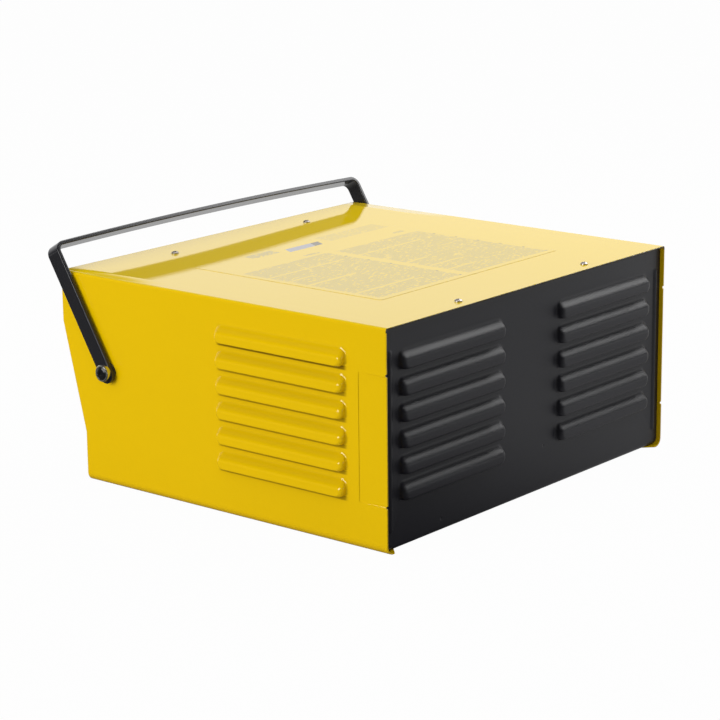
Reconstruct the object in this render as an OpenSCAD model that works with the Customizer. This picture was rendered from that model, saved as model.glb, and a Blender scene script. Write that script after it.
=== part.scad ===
// Bench battery charger with jump start in a folded steel case with a bail handle.
// Millimetres, Z up, the controls face -Y, the origin is centred under the case.

/* [Case] */
// Width across the cover
case_w = 428; // [420:1:440]
// Depth of the cover along its top
case_d = 388; // [384:1:400]
// Height of the cover
case_h = 200; // [198:1:206]
// Thickness of the cover sheet
cover_t = 1.2; // [1:0.1:1.5]
// Thickness of the chassis sheet
chassis_t = 1.5; // [1.2:0.1:2]
// Outer bend radius along the top edges of the cover
top_bend = 2.6; // [2.2:0.1:4]
// Outer bend radius along the bottom edges of the cover
bottom_bend = 8; // [6:0.5:9]
// Width of the flanges turned in under the case
flange_w = 24; // [18:1:30]
// Distance from the side at which the flange corners are mitred
mitre_start = 10; // [9:0.5:14]
// Height at which the front edge of the hood starts to run back
front_knee = 152; // [148:1:156]
// Height at which the front edge turns upright again
front_toe = 48; // [44:1:52]
// How far the hood stands out over the front panel
front_set = 25.4; // [22:0.2:27]
// How far the rear panel sits inside the cover
panel_inset = 4; // [3:0.5:6]
// Gap between each side of the chassis and the cover
chassis_gap = 0.5; // [0.5:0.1:0.8]

/* [Louvers] */
// Length of one punched louver
louver_len = 153; // [130:1:156]
// Height of one punched louver
louver_h = 17.4; // [15:0.2:19]
// How far a louver stands out of the sheet
louver_out = 6.5; // [5:0.5:7.5]
// Distance between rows of louvers
louver_pitch = 23.2; // [22:0.2:24]
// Height of the lowest lip
louver_first = 42.1; // [38:0.1:44]
// Rows in each column
louver_rows = 6; // [2:1:6]
// Middle of the side column in front of the rear edge of the cover
side_louver_in = 118.5; // [116:0.5:124]
// Middle of each rear column inside the edge of the rear panel
rear_louver_in = 95.8; // [92:0.1:100]

/* [Handle] */
// Width of the flat bar
bar_w = 16; // [14:0.5:20]
// Thickness of the flat bar
bar_t = 4; // [3:0.5:5]
// Pivot to the outer face of the crossbar
handle_reach = 131.5; // [126:0.5:140]
// Lean of the handle towards the front as shown
handle_lean = 31; // [0:0.5:60]
// Pivot behind the front edge of the cover
pivot_back = 58.6; // [54:0.1:68]
// Pivot below the top of the cover
pivot_drop = 88.6; // [86:0.1:92]
// Diameter of the pivot bolt
pivot_d = 8; // [6:0.5:10]
// Running clearance on the pivot radius
pivot_play = 0.05; // [0.02:0.01:0.1]

/* [Front] */
// Middle of the meter
meter_x = -118; // [-124:1:-112]
// Width of the meter bezel
meter_w = 84; // [76:1:90]
// Height of the meter bezel
meter_h = 70; // [66:1:74]
// Middle of the selector knob
selector_x = 8; // [0:1:14]
// Diameter of the selector knob
knob_d = 42; // [34:1:46]
// Middle of the mains rocker
rocker_x = 96; // [92:1:100]
// Distance between the two rockers
rocker_pitch = 48; // [40:1:52]
// Lean of a pressed rocker
rocker_lean = 9; // [6:0.5:10]

/* [Transformer] */
// Width of the core
core_w = 132; // [126:1:138]
// Stack depth of the core
core_stack = 70; // [60:1:76]
// Middle of the core across the case
core_x = -85; // [-90:1:-80]
// Middle of the core front to back
core_y = 92; // [86:1:96]

/* [Hidden] */
$fn = 48;
over = 1;

// Levels and walls shared by the folded pieces
floor_low = cover_t;
floor_top = floor_low + chassis_t;
side_in = case_w / 2 - cover_t;
chassis_w = 2 * (side_in - chassis_gap);
rear_out = case_d / 2 - panel_inset;
front_out = -case_d / 2 + front_set + 0.6;
panel_gap = 0.3;
chassis_top = case_h - cover_t - panel_gap;
seam_flange = 20;
corner_clear = 0.7;
pivot_y = -case_d / 2 + pivot_back;
pivot_z = case_h - pivot_drop;
side_louver_y = case_d / 2 - side_louver_in;
rear_louver_x = chassis_w / 2 - rear_louver_in;

// Rolled edges of the louvers
root_r = 2;
shoulder_r = louver_out - root_r;
top_r = 8;
low_r = 12;
lip_tuck = 5;

// Places of the cover screws, measured in from the edges of the cover
screw_in = 117.4;
screw_in_front = 34;
screw_in_rear = 13.4;
screw_x = case_w / 2 - screw_in;
screw_front_y = -case_d / 2 + screw_in_front;
screw_rear_y = case_d / 2 - screw_in_rear;
screw_shank = 3.5;
screw_head = 6.9;
screw_rise = 2.4;

// Places where the pieces on the floor are screwed down
feet_leg = 22;
foot_t = 2;
core_h = core_w * 5 / 6;
leg_w = core_w / 6;
core_bolt_d = 6;
core_bolt_x = core_w / 2 - leg_w / 2;
core_bolt_low = leg_w / 2;
core_bolt_high = core_h - leg_w / 2;
coil_h = core_h - 2 * leg_w;

sink_x = 110;
sink_y = 118;
sink_w = 124;
sink_h = 84;
sink_foot = 26;
sink_rise = 8;

relay_x = 120;
relay_y = 0;
relay_d = 48;

board_x = 0;
board_y = -84;
board_l = 140;
board_b = 92;
board_rise = 12;
board_t = 1.6;

block_x = -150;
block_y = -104;

// Fastener places on the floor, each one [x, y, top of what it holds]
floor_points = [
    [core_x - 48, core_y - core_stack / 2 - 13, foot_t],
    [core_x + 48, core_y - core_stack / 2 - 13, foot_t],
    [core_x - 48, core_y + core_stack / 2 + 13, foot_t],
    [core_x + 48, core_y + core_stack / 2 + 13, foot_t],
    [relay_x - 32, relay_y, 2],
    [relay_x + 32, relay_y, 2],
    [block_x - 26, block_y, 6],
    [block_x + 26, block_y, 6]];

// Shared shapes

// Area left outside a rounded corner, used to round the folds
module spandrel(r) {
    difference() {
        translate([-over, -over])
            square([r + over, r + over]);
        translate([r, r])
            circle(r);
    }
}

// Rectangle with rounded corners about the middle
module round_rect(w, h, r) {
    square([w - 2 * r, h], center = true);
    square([w, h - 2 * r], center = true);
    for (sx = [-1, 1], sy = [-1, 1])
        translate([sx * (w / 2 - r), sy * (h / 2 - r)])
            circle(r);
}

// Outline of the case across its width, inset by g on every side
module case_outline(g, rt, rb) {
    difference() {
        translate([-case_w / 2 + g, g])
            square([case_w - 2 * g, case_h - 2 * g]);
        for (s = [0, 1])
            mirror([s, 0]) {
                translate([-case_w / 2 + g, g])
                    spandrel(rb);
                translate([-case_w / 2 + g, case_h - g])
                    mirror([0, 1])
                        spandrel(rt);
            }
    }
}

// Sets children on the front panel, Z out of the panel
module on_front(x, z) {
    translate([x, front_out, z])
        rotate([90, 0, 0])
            children();
}

// Both sides of the case
module both_sides() {
    for (s = [0, 1])
        mirror([s, 0, 0])
            children();
}

// Hexagon prism measured across its flats
module hexagon(flats, h) {
    cylinder(d = flats / cos(30), h = h, $fn = 6);
}

// Pan head with a cross recess, the head stands on Z = 0
module pan_screw(d, head, rise, len) {
    difference() {
        union() {
            intersection() {
                translate([0, 0, rise - head * 0.78])
                    sphere(r = head * 0.78);
                cylinder(d = head, h = rise);
            }
            translate([0, 0, -len + d / 2])
                cylinder(d = d, h = len - d / 2 + 0.01);
            translate([0, 0, -len])
                cylinder(d1 = d * 0.3, d2 = d, h = d / 2);
        }
        for (a = [0, 90])
            rotate([0, 0, a])
                translate([-head * 0.29, -head * 0.07, rise * 0.45])
                    cube([head * 0.58, head * 0.14, rise]);
    }
}

// Section of the waste round a louver, x in from its outline and y out of the
// sheet, for the skin that lies g inside the outer one; m is waste outside it
module louver_waste(g, low, m) {
    difference() {
        translate([-m, low - over])
            square([m + louver_out, louver_out - low + 2 * over]);
        // Foot of the louver, rolled out of the sheet
        difference() {
            translate([0, low - 2 * over])
                square([louver_out + over, root_r - low + 2 * over]);
            translate([0, root_r])
                circle(root_r + g);
        }
        // Shoulder, rolled back over its face
        intersection() {
            translate([louver_out, root_r])
                circle(shoulder_r - g);
            translate([0, root_r])
                square([louver_out + over, louver_out]);
        }
    }
}

// Waste round a corner of a louver, radius r at its outline
module louver_corner_waste(g, low, r) {
    rotate_extrude(angle = 90)
        translate([r, 0])
            mirror([1, 0])
                louver_waste(g, low, r);
}

// Waste along a straight edge of a louver
module louver_edge_waste(g, low, length) {
    rotate([90, 0, 90])
        linear_extrude(length)
            louver_waste(g, low, over);
}

// Louver pressed out of an upright sheet: its outer form, or the hollow that
// lies g inside it, with rolled edges, rounded corners and a lip cut off below
module louver(g, low) {
    half = louver_len / 2 + root_r;
    high = louver_h + root_r;
    rotate([90, 0, 180])
        difference() {
            translate([-half, 0, low])
                cube([2 * half, high, louver_out - g - low]);
            // Roof and rolled lip
            translate([half - top_r, high, 0])
                rotate([0, 0, 180])
                    louver_edge_waste(g, low, 2 * (half - top_r));
            translate([-half + low_r, -lip_tuck, 0])
                louver_edge_waste(g, low, 2 * (half - low_r));
            // Both ends
            translate([half, -lip_tuck + low_r, 0])
                rotate([0, 0, 90])
                    louver_edge_waste(g, low, high + lip_tuck - top_r - low_r);
            translate([-half, high - top_r, 0])
                rotate([0, 0, -90])
                    louver_edge_waste(g, low, high + lip_tuck - top_r - low_r);
            // Corners
            translate([half - top_r, high - top_r, 0])
                louver_corner_waste(g, low, top_r);
            translate([-half + top_r, high - top_r, 0])
                rotate([0, 0, 90])
                    louver_corner_waste(g, low, top_r);
            translate([-half + low_r, -lip_tuck + low_r, 0])
                rotate([0, 0, 180])
                    louver_corner_waste(g, low, low_r);
            translate([half - low_r, -lip_tuck + low_r, 0])
                rotate([0, 0, -90])
                    louver_corner_waste(g, low, low_r);
        }
}

// Both columns of louvers in the sides of the cover
module side_louvers(g, low) {
    for (side = [0, 1], k = [0 : louver_rows - 1])
        mirror([side, 0, 0])
            translate([case_w / 2, side_louver_y, louver_first + k * louver_pitch])
                rotate([0, 0, -90])
                    louver(g, low);
}

// Both columns of louvers in the rear panel
module rear_louvers(g, low) {
    for (side = [-1, 1], k = [0 : louver_rows - 1])
        translate([side * rear_louver_x, rear_out, louver_first + k * louver_pitch])
            louver(g, low);
}

// Round wire through a list of points
module wire(points, d) {
    for (i = [0 : len(points) - 2]) {
        a = points[i];
        b = points[i + 1];
        v = b - a;
        translate(a)
            rotate([0, acos(v[2] / norm(v)), atan2(v[1], v[0])])
                cylinder(d = d, h = norm(v));
        if (i > 0)
            translate(a)
                sphere(d = d);
    }
}

// The folded cover and the chassis

patch_depth = 0.4;
patch_len = 30.5;
patch_drop = 42;
patch_y = case_d / 2 - patch_len;
patch_low = 43.2;
patch_high = case_h - patch_drop;
notch_in = 93;
notch_len = 15;

module cover() {
    color("gold")
    union() {
        difference() {
            union() {
                rotate([90, 0, 0])
                    linear_extrude(case_d, center = true)
                        difference() {
                            case_outline(0, top_bend, bottom_bend);
                            case_outline(cover_t, top_bend - cover_t, bottom_bend - cover_t);
                            translate([-case_w / 2 + flange_w, -over])
                                square([case_w - 2 * flange_w, cover_t + 2 * over]);
                        }
                both_sides()
                    translate([side_in - patch_depth, patch_y, patch_low])
                        cube([cover_t, case_d / 2 - patch_y, patch_high - patch_low]);
                side_louvers(0, -cover_t / 2);
            }
            // Front edge of both sides, running back under the hood
            rotate([90, 0, 90])
                linear_extrude(case_w + 2 * over, center = true)
                    polygon([
                        [-case_d / 2 - over, front_knee], [-case_d / 2, front_knee],
                        [-case_d / 2 + front_set, front_toe],
                        [-case_d / 2 + front_set, -over], [-case_d / 2 - over, -over]]);
            both_sides() {
                // Shallow pressed patch at the rear edge with its two relief notches
                translate([case_w / 2 - patch_depth, patch_y, patch_low])
                    cube([over, case_d, patch_high - patch_low]);
                for (z = [patch_low, patch_high + 1])
                    translate([case_w / 2 - 3, case_d / 2, z])
                        rotate([0, 90, 0])
                            cylinder(r = 1.3, h = 5);
                // Mitred flange corners at the rear
                translate([0, 0, -over])
                    linear_extrude(over + cover_t + 0.01)
                        polygon([
                            [case_w / 2 - mitre_start, case_d / 2 + over],
                            [case_w / 2 - mitre_start, case_d / 2],
                            [case_w / 2 - flange_w - over,
                                case_d / 2 - (flange_w - mitre_start) - over],
                            [case_w / 2 - flange_w - over, case_d / 2 + over]]);
                // Relief in the flange
                translate([case_w / 2 - flange_w - over, case_d / 2 - notch_in, -over])
                    cube([flange_w - bottom_bend + over, notch_len, cover_t + over + 0.01]);
                translate([case_w / 2 - cover_t - over, pivot_y, pivot_z])
                    rotate([0, 90, 0])
                        cylinder(d = pivot_d + 0.3, h = cover_t + 2 * over);
                for (y = [screw_front_y, screw_rear_y])
                    translate([screw_x, y, case_h - cover_t - over])
                        cylinder(d = screw_shank + 0.6, h = cover_t + 2 * over);
            }
            side_louvers(cover_t, -cover_t - over);
        }
    }
}

bead_in = 7.8;
bead_drop = 19.5;
bead_x = chassis_w / 2 - bead_in;
bead_low = 16.5;
bead_high = chassis_top - bead_drop;
bead_r = 3.2;
bead_rise = 1.5;

// Round ended rod standing half sunk in the rear panel
module bead(r) {
    translate([0, rear_out - bead_r + bead_rise, bead_low + bead_r])
        cylinder(r = r, h = bead_high - bead_low - 2 * bead_r);
    for (z = [bead_low + bead_r, bead_high - bead_r])
        translate([0, rear_out - bead_r + bead_rise, z])
            sphere(r);
}

// Section of the chassis front to back, inset by g
module chassis_section(g, r) {
    difference() {
        translate([front_out + g, floor_low + g])
            square([rear_out - front_out - 2 * g, chassis_top - floor_low - 2 * g]);
        translate([rear_out - g, floor_low + g])
            mirror([1, 0])
                spandrel(r + 2);
        translate([front_out + g, floor_low + g])
            spandrel(r + 2);
        translate([rear_out - g, chassis_top - g])
            mirror([1, 0])
                mirror([0, 1])
                    spandrel(r);
        translate([front_out + g, chassis_top - g])
            mirror([0, 1])
                spandrel(r);
    }
}

barrel_d = 60;
gland_hole = 16;
grommet_hole = 18;
breaker_hole = 11;
lamp_hole = 12;
rocker_hole_w = 19;
rocker_hole_h = 28;
gland_x = -160;
breaker_x = -84;
lead_x = [40, 84];
toe_z = 30;
film_drop = 14;
film_low = 58;
film_high = case_h - film_drop;
film_mid = (film_low + film_high) / 2;
meter_z = film_mid + 2;
selector_z = film_mid - 4;
rocker_z = film_mid - 12;
lamp_z = film_mid + 36;

module chassis() {
    color("#2a2a2d")
    union() {
        difference() {
            union() {
                rotate([90, 0, 90])
                    linear_extrude(chassis_w, center = true)
                        difference() {
                            chassis_section(0, 2.5);
                            chassis_section(chassis_t, 1);
                            translate([front_out + seam_flange, chassis_top - 3])
                                square([rear_out - front_out - 2 * seam_flange, 5]);
                        }
                both_sides()
                    translate([bead_x, 0, 0])
                        bead(bead_r);
                rear_louvers(0, -chassis_t / 2);
                // Drawn collars the cover screws bite in
                both_sides()
                    for (y = [screw_front_y, screw_rear_y])
                        translate([screw_x, y, chassis_top - chassis_t - 2.2])
                            cylinder(d = screw_shank + 2.4, h = 2.5);
            }
            both_sides() {
                translate([bead_x, 0, 0])
                    bead(bead_r - chassis_t);
                for (y = [screw_front_y, screw_rear_y])
                    translate([screw_x, y, chassis_top - 8])
                        cylinder(d = screw_shank, h = 10);
            }
            rear_louvers(chassis_t, -chassis_t - over);
            // Openings for the controls
            on_front(meter_x, meter_z)
                translate([0, 0, -3])
                    cylinder(d = barrel_d + 1, h = 5);
            on_front(selector_x, selector_z)
                translate([0, 0, -3])
                    cylinder(d = 10, h = 5);
            for (k = [0, 1]) {
                on_front(rocker_x + k * rocker_pitch, rocker_z)
                    cube([rocker_hole_w, rocker_hole_h, 6], center = true);
                on_front(rocker_x + k * rocker_pitch, lamp_z)
                    translate([0, 0, -3])
                        cylinder(d = lamp_hole, h = 5);
            }
            // Openings for the inlet, the breaker and the output leads
            on_front(gland_x, toe_z)
                translate([0, 0, -3])
                    cylinder(d = gland_hole, h = 5);
            on_front(breaker_x, toe_z)
                translate([0, 0, -3])
                    cylinder(d = breaker_hole, h = 5);
            for (x = lead_x)
                on_front(x, toe_z)
                    translate([0, 0, -3])
                        cylinder(d = grommet_hole, h = 5);
            for (p = floor_points)
                translate([p[0], p[1], 0])
                    cylinder(d = 3.5, h = 5);
            for (sx = [-1, 1], sy = [-1, 1])
                translate([sink_x + sx * 50, sink_y - 18 + sy * 7, 0])
                    cylinder(d = 3.5, h = 5);
            for (sx = [-1, 1], sy = [-1, 1])
                translate([board_x + sx * (board_l / 2 - 6), board_y + sy * (board_b / 2 - 6), 0])
                    cylinder(d = 4, h = 5);
            // Corners rounded to clear the bends of the cover
            both_sides()
                rotate([90, 0, 0])
                    linear_extrude(case_d, center = true) {
                        translate([-chassis_w / 2, floor_low])
                            spandrel(bottom_bend - cover_t + corner_clear);
                        translate([-chassis_w / 2, chassis_top])
                            mirror([0, 1])
                                spandrel(top_bend - cover_t + corner_clear);
                    }
        }
    }
}

label_t = 0.2;
label_w = 268;
label_d = 224;
label_r = 4;
label_in = 70;

module top_label() {
    color("khaki")
    translate([0, case_d / 2 - label_in - label_d / 2, case_h])
        linear_extrude(label_t)
            round_rect(label_w, label_d, label_r);
}

// Handle and its pivots

arm_gap = 2;
arm_in = case_w / 2 + arm_gap;
arm_out = arm_in + bar_t;
bar_bend = 10;
run_gap = 0.1;
arm_drop = 2.6;

// Bar section with eased edges, thickness along x
module bar_section() {
    round_rect(bar_t, bar_w, 0.9);
}

module handle() {
    color("#1d1d1f")
    translate([0, pivot_y, pivot_z])
        rotate([handle_lean, 0, 0])
            difference() {
                union() {
                    both_sides() {
                        translate([arm_in + bar_t / 2, 0, -arm_drop])
                            linear_extrude(handle_reach - bar_bend + arm_drop)
                                bar_section();
                        translate([arm_in + bar_t / 2, 0, -arm_drop])
                            rotate([0, 90, 0])
                                cylinder(d = bar_w, h = bar_t, center = true);
                        translate([arm_out - bar_bend, 0, handle_reach - bar_bend])
                            rotate([90, 0, 0])
                                rotate_extrude(angle = 90)
                                    translate([bar_bend - bar_t / 2, 0])
                                        bar_section();
                    }
                    translate([0, 0, handle_reach - bar_t / 2])
                        rotate([0, 90, 0])
                            linear_extrude(2 * (arm_out - bar_bend), center = true)
                                bar_section();
                }
                both_sides()
                    translate([arm_in - over, 0, 0])
                        rotate([0, 90, 0])
                            cylinder(d = pivot_d + 2 * pivot_play, h = bar_t + 2 * over);
            }
}

// Sets children on the pivot axis, Z outwards from the cover face
module on_pivots() {
    both_sides()
        translate([case_w / 2, pivot_y, pivot_z])
            rotate([0, 90, 0])
                children();
}

head_seat = arm_gap + bar_t + run_gap;
head_d = 16;
head_h = 4.6;
cap_d = 12.2;
cap_sink = 1.2;

module pivot_bolts() {
    color("silver")
    on_pivots()
        difference() {
            union() {
                translate([0, 0, -14])
                    cylinder(d = pivot_d, h = head_seat + 14 + 0.01);
                translate([0, 0, head_seat])
                    rotate_extrude()
                        difference() {
                            square([head_d / 2, head_h]);
                            translate([head_d / 2, head_h])
                                rotate([0, 0, 45])
                                    square(1.1, center = true);
                        }
            }
            translate([0, 0, head_seat + head_h - cap_sink])
                cylinder(d = cap_d, h = cap_sink + over);
        }
}

module pivot_caps() {
    color("#151515")
    on_pivots()
        translate([0, 0, head_seat + head_h - cap_sink])
            difference() {
                union() {
                    cylinder(d = cap_d, h = cap_sink);
                    translate([0, 0, cap_sink])
                        cylinder(d1 = cap_d - 0.6, d2 = cap_d - 3, h = 0.6);
                }
                translate([0, 0, cap_sink - 0.2])
                    hexagon(4, 3);
            }
}

module pivot_bushes() {
    color("ivory")
    on_pivots()
        difference() {
            cylinder(d = 17, h = arm_gap - run_gap);
            translate([0, 0, -over])
                cylinder(d = pivot_d, h = arm_gap + 2 * over);
        }
}

module pivot_washers() {
    color("silver")
    on_pivots()
        translate([0, 0, -cover_t - 2])
            difference() {
                cylinder(d = 24, h = 2);
                translate([0, 0, -over])
                    cylinder(d = pivot_d, h = 2 + 2 * over);
            }
}

module pivot_nuts() {
    color("silver")
    on_pivots()
        translate([0, 0, -cover_t - 2 - 6.5])
            difference() {
                intersection() {
                    hexagon(13, 6.5);
                    translate([0, 0, 3.25])
                        sphere(r = 8.1);
                }
                translate([0, 0, -over])
                    cylinder(d = pivot_d, h = 6.5 + 2 * over);
            }
}

module cover_screws() {
    color("silver")
    both_sides()
        for (y = [screw_front_y, screw_rear_y])
            translate([screw_x, y, case_h])
                rotate([0, 0, y > 0 ? 25 : 60])
                    pan_screw(screw_shank, screw_head, screw_rise, 9.5);
}

// Front panel

film_t = 0.25;

module front_overlay() {
    color("#3a3d42")
    on_front(0, 0)
        difference() {
            translate([0, film_mid, 0])
                linear_extrude(film_t)
                    round_rect(chassis_w - 26, film_high - film_low, 4);
            translate([meter_x, meter_z, -over])
                cylinder(d = barrel_d + 1, h = 3);
            translate([selector_x, selector_z, -over])
                cylinder(d = 10, h = 3);
            for (k = [0, 1]) {
                translate([rocker_x + k * rocker_pitch, rocker_z, 0])
                    cube([rocker_hole_w, rocker_hole_h, 6], center = true);
                translate([rocker_x + k * rocker_pitch, lamp_z, -over])
                    cylinder(d = lamp_hole, h = 3);
            }
        }
}

bezel_rise = 11;
dial_z = film_t + 3.4;
dial_t = 0.8;
staff_d = 1.6;
staff_y = -20;
window_w = meter_w - 12;
window_h = meter_h - 26;
window_y = 8;
lens_t = 1.6;
lens_z = film_t + bezel_rise - lens_t - 1;

module meter_case() {
    color("#1c1c1e")
    on_front(meter_x, meter_z)
        difference() {
            union() {
                translate([0, 0, film_t])
                    linear_extrude(bezel_rise)
                        round_rect(meter_w, meter_h, 5);
                translate([0, 0, -34])
                    cylinder(d = barrel_d, h = 34 + film_t + 0.01);
            }
            // Dial chamber behind the window
            translate([0, 2, dial_z])
                linear_extrude(lens_z - dial_z)
                    round_rect(meter_w - 6, meter_h - 8, 3);
            translate([0, window_y, lens_z - 0.01])
                linear_extrude(lens_t + 0.01)
                    round_rect(window_w + 4, window_h + 4, 3);
            translate([0, window_y, lens_z])
                linear_extrude(10)
                    round_rect(window_w, window_h, 2);
            // Chamber of the movement
            translate([0, 0, -30])
                cylinder(d = barrel_d - 6, h = 30 + dial_z + 0.01);
        }
}

module meter_movement() {
    color("dimgray")
    on_front(meter_x, meter_z)
        difference() {
            union() {
                translate([0, 0, -30])
                    cylinder(d = barrel_d - 8, h = 6);
                translate([0, 0, -24])
                    cylinder(d = 34, h = 22);
                translate([-7, staff_y - 5, -24])
                    cube([14, 20, 26]);
            }
            translate([0, staff_y, -6])
                cylinder(d = staff_d + 0.1, h = 20);
        }
}

module meter_dial() {
    color("white")
    on_front(meter_x, meter_z)
        difference() {
            translate([0, 2, dial_z])
                linear_extrude(dial_t)
                    round_rect(meter_w - 6, meter_h - 8, 3);
            translate([0, staff_y, 0])
                cylinder(d = 5, h = 10);
        }
}

needle_z = dial_z + dial_t + 0.6;
needle_rest = 44;

module meter_needle() {
    color("red")
    on_front(meter_x, meter_z)
        translate([0, staff_y, 0])
            rotate([0, 0, needle_rest]) {
                translate([0, 0, -5.8])
                    cylinder(d = staff_d, h = needle_z + 5.8 + 0.5);
                translate([0, 0, needle_z])
                    cylinder(d = 7, h = 1.2);
                translate([0, 0, needle_z])
                    linear_extrude(0.7)
                        polygon([[-1.1, -8], [1.1, -8], [0.9, 0], [0.35, 44], [-0.35, 44], [-0.9, 0]]);
            }
}

module meter_lens() {
    color("#dfe8ee", 0.35)
    on_front(meter_x, meter_z)
        translate([0, window_y, lens_z])
            linear_extrude(lens_t)
                round_rect(window_w + 4, window_h + 4, 3);
}

shaft_d = 6;
switch_deep = 32;

module selector_switch() {
    color("#3b3b40")
    on_front(selector_x, selector_z)
        difference() {
            union() {
                translate([0, 0, -chassis_t - switch_deep])
                    linear_extrude(switch_deep)
                        round_rect(42, 42, 6);
                translate([0, 0, -chassis_t - 0.01])
                    cylinder(d = 9.6, h = chassis_t + film_t + 5);
                for (a = [0 : 60 : 300])
                    rotate([0, 0, a])
                        translate([12, -2.4, -chassis_t - switch_deep - 7])
                            cube([0.8, 4.8, 7.01]);
            }
            translate([0, 0, -chassis_t - 14])
                cylinder(d = shaft_d + 0.1, h = 40);
        }
}

module selector_nut() {
    color("silver")
    on_front(selector_x, selector_z)
        translate([0, 0, film_t])
            difference() {
                hexagon(14, 2.4);
                translate([0, 0, -over])
                    cylinder(d = 9.6, h = 5);
            }
}

knob_h = 17;
knob_gap = 1.2;

module selector_knob() {
    color("#161618")
    on_front(selector_x, selector_z)
        difference() {
            union() {
                translate([0, 0, -chassis_t - 13.8])
                    cylinder(d = shaft_d, h = chassis_t + film_t + 13.8 + 8);
                translate([0, 0, film_t + knob_gap])
                    difference() {
                        union() {
                            cylinder(d = knob_d, h = 4);
                            translate([0, 0, 3.9])
                                cylinder(d1 = knob_d - 8, d2 = knob_d - 11, h = knob_h - 4);
                            translate([-4, -knob_d / 2 + 2, 3.9])
                                cube([8, knob_d - 4, knob_h - 3]);
                        }
                        translate([0, 0, -over])
                            cylinder(d = 18, h = 6);
                        for (k = [0 : 23])
                            rotate([0, 0, k * 15 + 7.5])
                                translate([knob_d / 2 + 0.6, 0, -over])
                                    cylinder(d = 2.6, h = 6);
                    }
                translate([0, 0, film_t + 6])
                    cylinder(d = 14, h = 2);
            }
            // Pointer groove on the grip
            translate([-0.6, 6, film_t + knob_gap + knob_h])
                cube([1.2, knob_d / 2, 3]);
        }
}

rocker_r = 12.2;
rocker_w = 13;
pin_d = 2.4;
pin_z = -1.5;

module rocker_frames() {
    color("#222225")
    for (k = [0, 1])
        on_front(rocker_x + k * rocker_pitch, rocker_z)
            difference() {
                union() {
                    translate([0, 0, film_t])
                        linear_extrude(2.2)
                            round_rect(23, 32, 2);
                    translate([0, 0, -20])
                        linear_extrude(20 + film_t + 0.01)
                            square([rocker_hole_w - 0.4, rocker_hole_h - 0.4], center = true);
                    for (y = [-8, 0, 8])
                        translate([-0.4, y - 3.1, -29])
                            cube([0.8, 6.2, 9.01]);
                }
                translate([0, 0, -15])
                    linear_extrude(20)
                        square([rocker_w + 0.6, 2 * rocker_r + 0.8], center = true);
                translate([0, 0, pin_z])
                    rotate([0, 90, 0])
                        cylinder(d = pin_d + 0.1, h = rocker_w + 3.8, center = true);
            }
}

// Rocker with its pins, pressed at the lower end
module rocker() {
    translate([0, 0, pin_z])
        rotate([rocker_lean, 0, 0]) {
            rotate([90, 0, 90])
                linear_extrude(rocker_w, center = true)
                    intersection() {
                        circle(r = rocker_r);
                        polygon([
                            [-14, -5], [14, -5], [14, 5.6], [0, 4.2], [-14, 5.6]]);
                    }
            rotate([0, 90, 0])
                cylinder(d = pin_d, h = rocker_w + 3.4, center = true);
        }
}

module rocker_mains() {
    color("firebrick")
    on_front(rocker_x, rocker_z)
        rocker();
}

module rocker_volts() {
    color("#141416")
    on_front(rocker_x + rocker_pitch, rocker_z)
        rocker();
}

module lamp_bodies() {
    color("silver")
    for (k = [0, 1])
        on_front(rocker_x + k * rocker_pitch, lamp_z)
            difference() {
                union() {
                    translate([0, 0, film_t])
                        cylinder(d1 = 16, d2 = 14, h = 2);
                    translate([0, 0, -16])
                        cylinder(d = lamp_hole - 0.4, h = 16.01 + film_t);
                    translate([0, 0, -chassis_t - 3])
                        hexagon(15, 3);
                }
                translate([0, 0, -4])
                    cylinder(d = 9, h = 10);
            }
}

// Domed lens of an indicator lamp
module lamp_lens() {
    translate([0, 0, -4])
        cylinder(d = 9, h = 6.2 + film_t);
    intersection() {
        translate([0, 0, film_t + 2.2 - 3.2])
            sphere(r = 5.4);
        translate([0, 0, film_t + 2.1])
            cylinder(d = 9, h = 5);
    }
}

module lens_mains() {
    color("orange")
    on_front(rocker_x, lamp_z)
        lamp_lens();
}

module lens_charge() {
    color("limegreen")
    on_front(rocker_x + rocker_pitch, lamp_z)
        lamp_lens();
}

button_d = 7;

module breaker_body() {
    color("#26262a")
    on_front(breaker_x, toe_z)
        difference() {
            union() {
                translate([-8, -16, -chassis_t - 30])
                    cube([16, 32, 30]);
                translate([0, 0, -chassis_t - 0.01])
                    cylinder(d = breaker_hole - 0.4, h = chassis_t + 6);
                for (y = [-10, 10])
                    translate([-3.1, y - 0.4, -chassis_t - 38])
                        cube([6.2, 0.8, 8.01]);
            }
            translate([0, 0, -chassis_t - 12])
                cylinder(d = button_d + 0.16, h = 30);
        }
}

module breaker_nut() {
    color("silver")
    on_front(breaker_x, toe_z)
        difference() {
            hexagon(15, 2.5);
            translate([0, 0, -over])
                cylinder(d = breaker_hole - 0.4, h = 5);
        }
}

module breaker_button() {
    color("firebrick")
    on_front(breaker_x, toe_z) {
        translate([0, 0, -chassis_t - 11.9])
            cylinder(d = button_d, h = chassis_t + 11.9 + 8.6);
        translate([0, 0, 8.6])
            cylinder(d1 = button_d, d2 = button_d - 1.4, h = 0.7);
    }
}

module mains_gland() {
    color("#202022")
    on_front(gland_x, toe_z)
        difference() {
            union() {
                translate([0, 0, -chassis_t - 8])
                    cylinder(d = gland_hole - 0.4, h = 8.01 + chassis_t);
                cylinder(d = 24, h = 1.5);
                translate([0, 0, 1.49])
                    hexagon(20, 5);
                translate([0, 0, 6.48])
                    cylinder(d = 19, h = 6);
                translate([0, 0, 12.47])
                    cylinder(d1 = 19, d2 = 13, h = 5);
            }
            translate([0, 0, -chassis_t - 9])
                cylinder(d = 9, h = 40);
        }
}

module gland_nut() {
    color("#2c2c30")
    on_front(gland_x, toe_z)
        translate([0, 0, -chassis_t - 5])
            difference() {
                hexagon(22, 5);
                translate([0, 0, -over])
                    cylinder(d = gland_hole - 0.4, h = 8);
            }
}

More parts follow.
